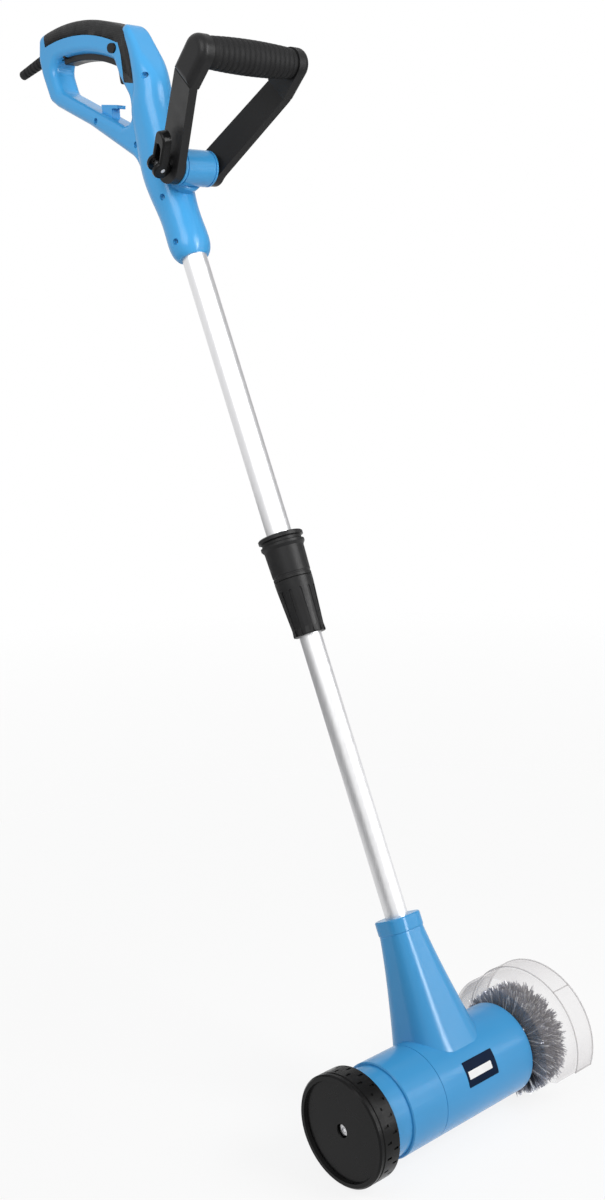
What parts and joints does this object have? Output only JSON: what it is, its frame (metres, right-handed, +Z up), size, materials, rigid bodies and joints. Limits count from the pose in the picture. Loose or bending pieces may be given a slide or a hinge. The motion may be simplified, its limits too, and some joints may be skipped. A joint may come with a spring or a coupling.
{
  "type": "electric joint cleaner",
  "caption": "Corded electric joint cleaner: telescopic shaft with a loop handle and tilting front handle, and a cross motor head with a guide wheel and a guarded wire brush.",
  "frame": {"origin": "middle of the rear grip, on the tool's middle plane", "axes": "+X forward, away from the user; +Y along the motor head to the brush end; +Z up, with the shaft leaning back as in use"},
  "size_m": [0.7117, 0.2725, 1.0379],
  "materials": {
    "blue_shell": "blue satin moulded plastic",
    "black_plastic": "black moulded plastic",
    "soft_black": "soft black grip rubber",
    "aluminium": "satin drawn tube",
    "steel": "bright steel",
    "wire": "dark drawn wire",
    "clear_plastic": "clear moulded plastic",
    "copper": "enamelled copper",
    "carbon": "pressed carbon"
  },
  "bodies": {
    "handle": {"handle_shell_right": "blue_shell", "handle_shell_left": "blue_shell", "grip_pad": "soft_black", "trigger_pin": "steel", "trigger_spring": "steel", "lock_spring": "steel", "switch_case": "black_plastic", "cable_sleeve": "soft_black", "cord_clamp": "black_plastic", "shell_screws": "steel", "pivot_barrel": "blue_shell", "upper_tube": "aluminium", "collar_body": "black_plastic", "collet": "black_plastic"},
    "trigger": {"trigger": "black_plastic"},
    "lock_button": {"lock_button": "black_plastic"},
    "front_handle": {"front_arm_right": "black_plastic", "front_arm_left": "black_plastic", "front_bridge": "black_plastic", "front_grip": "soft_black", "pivot_bolt": "steel", "pivot_nut": "black_plastic", "lever_pin": "steel"},
    "cam_lever": {"cam_lever": "black_plastic"},
    "collar_nut": {"collar_nut": "black_plastic"},
    "head": {"lower_tube": "aluminium", "tube_guide": "black_plastic", "motor_housing": "blue_shell", "end_cover": "blue_shell", "field_stack": "steel", "field_coils": "copper", "carbon_brushes": "carbon", "brush_holders": "black_plastic", "rear_bearing": "steel", "bearing_plate": "black_plastic", "front_bearing": "steel", "ring_gear": "steel", "gearbox_cover": "black_plastic", "spindle_bearing": "steel", "spindle_seal": "soft_black", "guard": "clear_plastic", "guard_screws": "steel", "wheel_axle": "steel"},
    "wheel": {"wheel": "black_plastic"},
    "spindle": {"spindle": "steel", "planet_pins": "steel", "brush_hub": "steel", "bristles": "wire", "brush_nut": "steel"},
    "armature": {"armature_shaft": "steel", "armature_core": "steel", "commutator": "copper", "motor_fan": "black_plastic", "sun_pinion": "steel"},
    "planet_1": {"planet_gear_1": "steel"},
    "planet_2": {"planet_gear_2": "steel"},
    "planet_3": {"planet_gear_3": "steel"}
  },
  "joints": [
    {"name": "trigger_press", "type": "hinge", "parent": "handle", "child": "trigger", "pos_m": [-0.04356, 0, -0.01448], "axis": [0, -1, 0], "range_deg": [0, 3.5], "stiffness_Nm_per_rad": 3},
    {"name": "lock_press", "type": "slide", "parent": "handle", "child": "lock_button", "axis": [0, 1, 0], "range_m": [0, 0.0025], "stiffness_N_per_m": 600},
    {"name": "front_handle_tilt", "type": "hinge", "parent": "handle", "child": "front_handle", "pos_m": [0.15306, 0, -0.13997], "axis": [0, -1, 0], "range_deg": [-70, 45]},
    {"name": "cam_lever_open", "type": "hinge", "parent": "front_handle", "child": "cam_lever", "pos_m": [0.15306, -0.0399, -0.13997], "axis": [0.7266, 0, -0.6871], "range_deg": [0, 75]},
    {"name": "collar_twist", "type": "hinge", "parent": "handle", "child": "collar_nut", "pos_m": [0.31151, 0, -0.5626], "axis": [-0.4226, 0, 0.9063], "range_deg": [0, 90]},
    {"name": "shaft_slide", "type": "slide", "parent": "handle", "child": "head", "axis": [-0.4226, 0, 0.9063], "range_m": [0, 0.2]},
    {"name": "wheel_spin", "type": "hinge", "parent": "head", "child": "wheel", "pos_m": [0.50042, -0.12425, -0.96772], "axis": [0, 1, 0], "continuous": true},
    {"name": "brush_spin", "type": "hinge", "parent": "head", "child": "spindle", "pos_m": [0.50042, 0.1, -0.96772], "axis": [0, 1, 0], "continuous": true},
    {"name": "motor_spin", "type": "hinge", "parent": "head", "child": "armature", "pos_m": [0.50042, 0, -0.96772], "axis": [0, 1, 0], "continuous": true},
    {"name": "planet_1_spin", "type": "hinge", "parent": "spindle", "child": "planet_1", "pos_m": [0.51891, 0.0415, -0.9591], "axis": [0, 1, 0], "continuous": true},
    {"name": "planet_2_spin", "type": "hinge", "parent": "spindle", "child": "planet_2", "pos_m": [0.48371, 0.0415, -0.95602], "axis": [0, 1, 0], "continuous": true},
    {"name": "planet_3_spin", "type": "hinge", "parent": "spindle", "child": "planet_3", "pos_m": [0.49865, 0.0415, -0.98804], "axis": [0, 1, 0], "continuous": true}
  ],
  "couplings": [
    {"joint": "motor_spin", "follows": "brush_spin", "ratio": 5.3333},
    {"joint": "planet_1_spin", "follows": "brush_spin", "ratio": -2.6},
    {"joint": "planet_2_spin", "follows": "brush_spin", "ratio": -2.6},
    {"joint": "planet_3_spin", "follows": "brush_spin", "ratio": -2.6}
  ]
}
